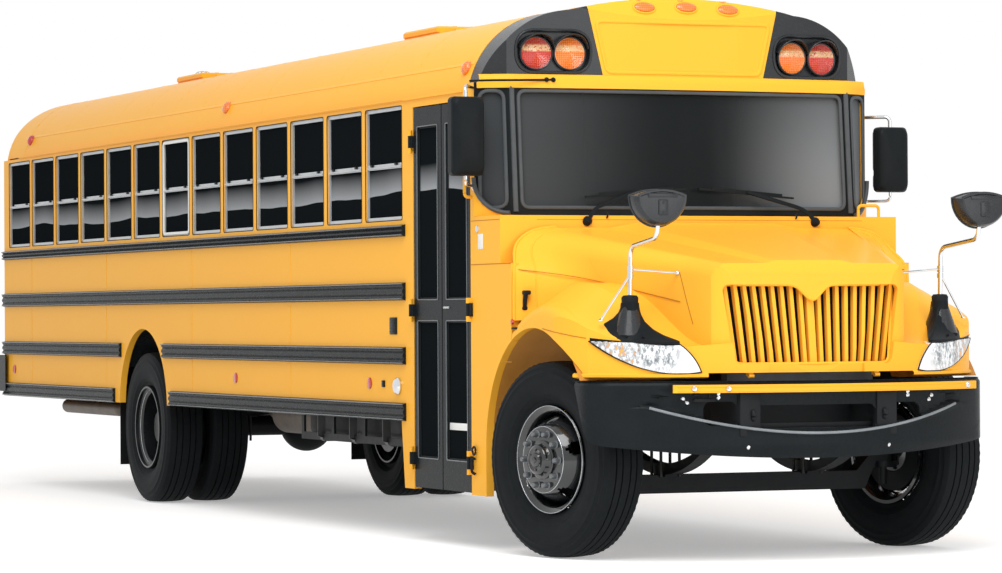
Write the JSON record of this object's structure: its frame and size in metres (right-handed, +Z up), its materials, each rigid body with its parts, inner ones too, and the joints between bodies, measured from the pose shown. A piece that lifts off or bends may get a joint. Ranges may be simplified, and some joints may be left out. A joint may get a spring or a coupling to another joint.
{
  "type": "school bus",
  "caption": "Conventional school bus with a tilting hood, folding entrance door, bench seats and twin rear wheels; its doors, hatches, arms and steering move.",
  "frame": {"origin": "on the ground under the middle of the bus's length and width", "axes": "+X towards the front of the bus, +Y to its left, +Z up"},
  "size_m": [11.856, 2.85, 3.1263],
  "materials": {
    "body_yellow": "gloss school-bus yellow",
    "body_black": "satin black paint",
    "pod_black": "gloss black",
    "trim_black": "textured black plastic",
    "sash_bright": "mill finish",
    "tinted_glass": "grey tint",
    "clear_glass": "clear",
    "lamp_lens": "moulded lens, red or amber by place",
    "headlamp_lens": "clear lens",
    "floor_covering": "ribbed floor covering",
    "chassis_black": "chassis black",
    "bare_iron": "cast",
    "core_metal": "finned core",
    "seat_cover": "vinyl bench cover",
    "tyre_rubber": "black rubber",
    "wheel_grey": "black painted steel",
    "bright_metal": "bright tube",
    "sign_red": "red, blank face",
    "exhaust_steel": "aluminised",
    "flap_rubber": "black rubber sheet"
  },
  "bodies": {
    "bus_body": {"roof": "body_yellow", "side_wall_right": "body_yellow", "side_wall_left": "body_yellow", "window_sashes": "sash_bright", "body_glass": "tinted_glass", "rub_rails": "body_black", "rear_wall": "body_yellow", "windscreen_frame": "trim_black", "windscreen": "clear_glass", "front_cap": "body_yellow", "lamp_pods": "pod_black", "rear_cap": "body_yellow", "lamps": "lamp_lens", "floor": "floor_covering", "wheelhouses": "body_black", "entrance_steps": "body_black", "cowl": "body_yellow", "front_bumper": "body_black", "frame_rails": "chassis_black", "engine": "bare_iron", "radiator": "core_metal", "front_axle": "chassis_black", "rear_axle": "chassis_black", "drive_line": "chassis_black", "fuel_tank": "chassis_black", "battery_box": "chassis_black", "exhaust": "exhaust_steel", "rear_bumper": "body_black", "mud_flaps": "flap_rubber", "seats": "seat_cover", "dash": "trim_black", "stop_arm_bracket": "body_black", "side_mirrors": "trim_black", "mirror_brackets": "bright_metal"},
    "hood": {"hood_shell": "body_yellow", "grille": "body_yellow", "headlamps": "headlamp_lens", "crossview_poles": "bright_metal", "crossview_mirrors": "pod_black"},
    "crossing_arm": {"crossing_arm": "body_yellow"},
    "stop_arm": {"stop_arm": "sign_red"},
    "entrance_leaf_front": {"door_leaf_front": "body_black", "door_glass_front": "tinted_glass"},
    "entrance_leaf_rear": {"door_leaf_rear": "body_black", "door_glass_rear": "tinted_glass"},
    "emergency_door": {"rear_door": "body_yellow", "rear_door_glass": "tinted_glass"},
    "roof_hatch_front": {"hatch_lid_front": "body_yellow"},
    "roof_hatch_rear": {"hatch_lid_rear": "body_yellow"},
    "knuckle_right": {"knuckle_right": "chassis_black"},
    "knuckle_left": {"knuckle_left": "chassis_black"},
    "front_wheel_right": {"front_tyre_right": "tyre_rubber", "front_wheel_right": "wheel_grey"},
    "front_wheel_left": {"front_tyre_left": "tyre_rubber", "front_wheel_left": "wheel_grey"},
    "rear_wheels_right": {"rear_tyres_right": "tyre_rubber", "rear_wheels_right": "wheel_grey"},
    "rear_wheels_left": {"rear_tyres_left": "tyre_rubber", "rear_wheels_left": "wheel_grey"}
  },
  "joints": [
    {"name": "hood_tilt", "type": "hinge", "parent": "bus_body", "child": "hood", "pos_m": [5.785, 0, 0.975], "axis": [0, 1, 0], "range_deg": [0, 75]},
    {"name": "crossing_arm_swing", "type": "hinge", "parent": "bus_body", "child": "crossing_arm", "pos_m": [5.74954, -0.79, 0.911], "axis": [0, 0, -1], "range_deg": [0, 90]},
    {"name": "stop_arm_swing", "type": "hinge", "parent": "bus_body", "child": "stop_arm", "pos_m": [2.755, 1.286, 1.625], "axis": [0, 0, -1], "range_deg": [0, 90]},
    {"name": "entrance_rear_leaf", "type": "hinge", "parent": "bus_body", "child": "entrance_leaf_rear", "pos_m": [3.125, -1.237, 1.33], "axis": [0, 0, -1], "range_deg": [0, 88]},
    {"name": "entrance_front_leaf", "type": "hinge", "parent": "bus_body", "child": "entrance_leaf_front", "pos_m": [4.005, -1.237, 1.33], "axis": [0, 0, 1], "range_deg": [0, 88]},
    {"name": "emergency_door_swing", "type": "hinge", "parent": "bus_body", "child": "emergency_door", "pos_m": [-5.863, -0.47, 1.78], "axis": [0, 0, 1], "range_deg": [0, 95]},
    {"name": "roof_hatch_front_lift", "type": "hinge", "parent": "bus_body", "child": "roof_hatch_front", "pos_m": [1.287, 0, 3.099], "axis": [0, 1, 0], "range_deg": [0, 60]},
    {"name": "roof_hatch_rear_lift", "type": "hinge", "parent": "bus_body", "child": "roof_hatch_rear", "pos_m": [-3.513, 0, 3.099], "axis": [0, 1, 0], "range_deg": [0, 60]},
    {"name": "steer_right", "type": "hinge", "parent": "bus_body", "child": "knuckle_right", "pos_m": [4.855, -0.9, 0.527], "axis": [0, 0, 1], "range_deg": [-52, 24]},
    {"name": "steer_left", "type": "hinge", "parent": "bus_body", "child": "knuckle_left", "pos_m": [4.855, 0.9, 0.527], "axis": [0, 0, 1], "range_deg": [-52, 24]},
    {"name": "front_wheel_right_spin", "type": "hinge", "parent": "knuckle_right", "child": "front_wheel_right", "pos_m": [4.88766, -1.03099, 0.527], "axis": [-0.2419, 0.9703, 0], "continuous": true},
    {"name": "front_wheel_left_spin", "type": "hinge", "parent": "knuckle_left", "child": "front_wheel_left", "pos_m": [4.82234, 1.03099, 0.527], "axis": [-0.2419, 0.9703, 0], "continuous": true},
    {"name": "rear_wheels_right_spin", "type": "hinge", "parent": "bus_body", "child": "rear_wheels_right", "pos_m": [-2.155, -0.9, 0.527], "axis": [0, 1, 0], "continuous": true},
    {"name": "rear_wheels_left_spin", "type": "hinge", "parent": "bus_body", "child": "rear_wheels_left", "pos_m": [-2.155, 0.9, 0.527], "axis": [0, 1, 0], "continuous": true}
  ],
  "couplings": [
    {"joint": "steer_left", "follows": "steer_right", "ratio": 1},
    {"joint": "entrance_front_leaf", "follows": "entrance_rear_leaf", "ratio": 1}
  ]
}
